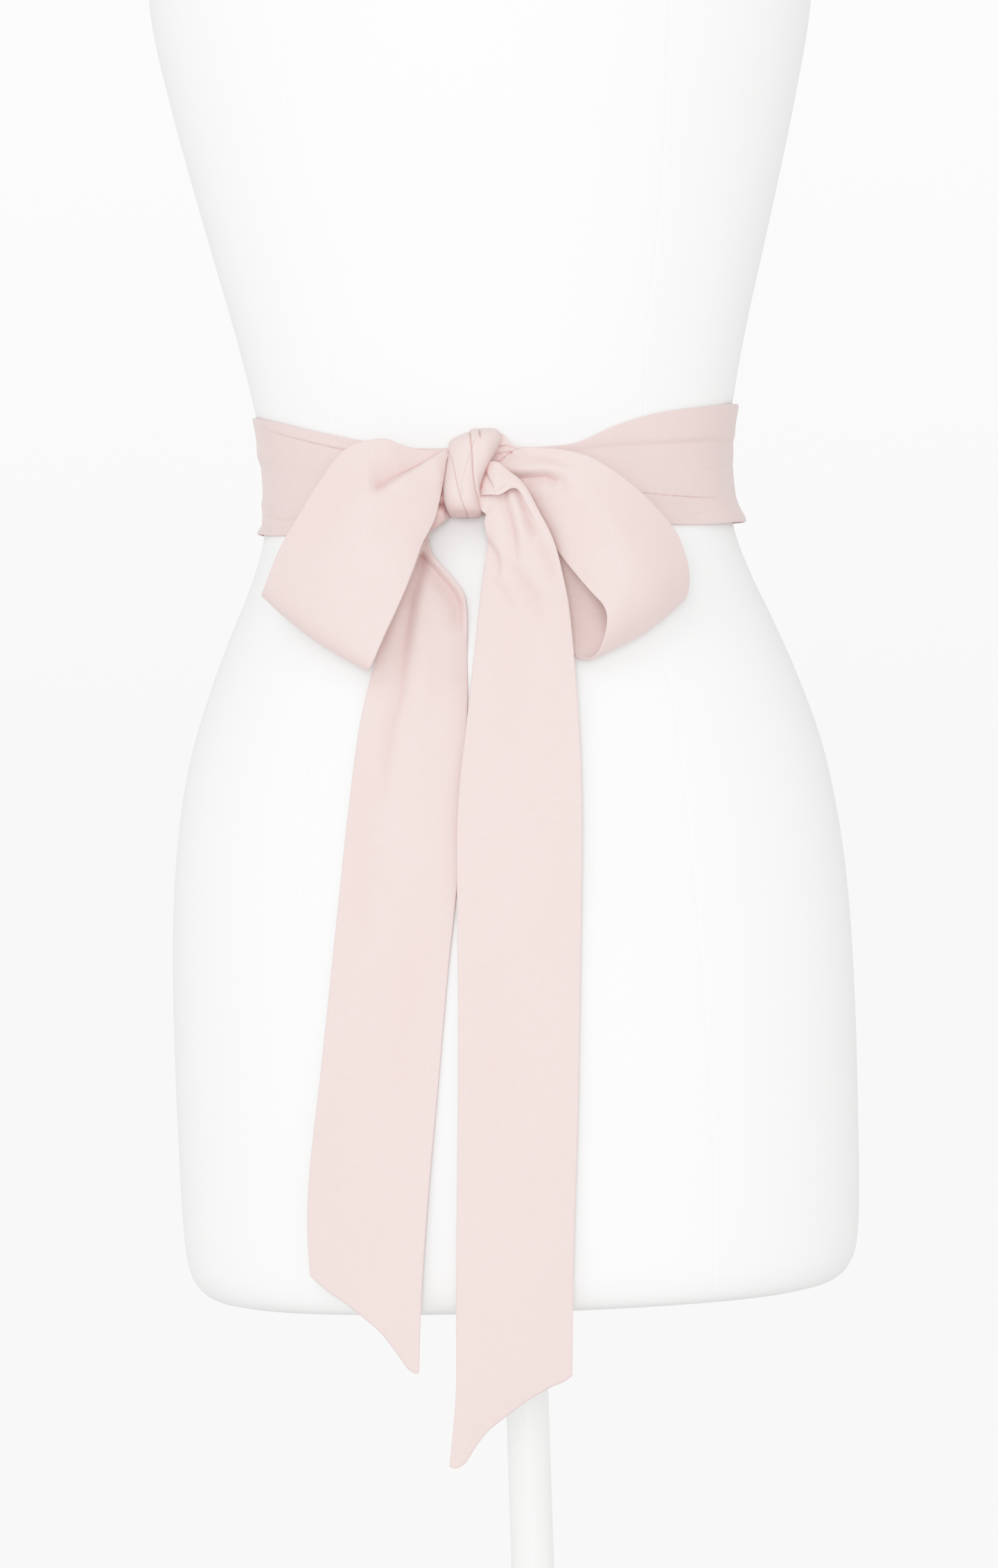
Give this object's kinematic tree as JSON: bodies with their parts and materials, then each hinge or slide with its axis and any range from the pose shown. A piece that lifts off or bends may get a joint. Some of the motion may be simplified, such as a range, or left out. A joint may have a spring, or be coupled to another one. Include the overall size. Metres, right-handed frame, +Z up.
{
  "type": "satin sash on a dress form",
  "caption": "Satin sash wound once round the waist of a limbless dress form on a pole and round base, tied at the front in a bow with slanted tails.",
  "frame": {"origin": "middle of the round base's underside, on the floor", "axes": "+Z up the pole, the form and the bow face -Y, +X to the right of someone facing them"},
  "size_m": [0.4, 0.4, 1.5023],
  "materials": {
    "sash_cloth": "blush crepe-backed satin, dull side out",
    "form_shell": "smooth white, matt",
    "form_stand": "white lacquer"
  },
  "bodies": {
    "root": {"form_body": "form_shell", "form_neck_cap": "form_shell", "form_collar": "form_stand", "form_pole": "form_stand", "form_base": "form_stand", "sash_band": "sash_cloth", "sash_knot": "sash_cloth", "sash_loop_left": "sash_cloth", "sash_loop_right": "sash_cloth", "sash_tail_left": "sash_cloth", "sash_tail_right": "sash_cloth"}
  },
  "joints": []
}
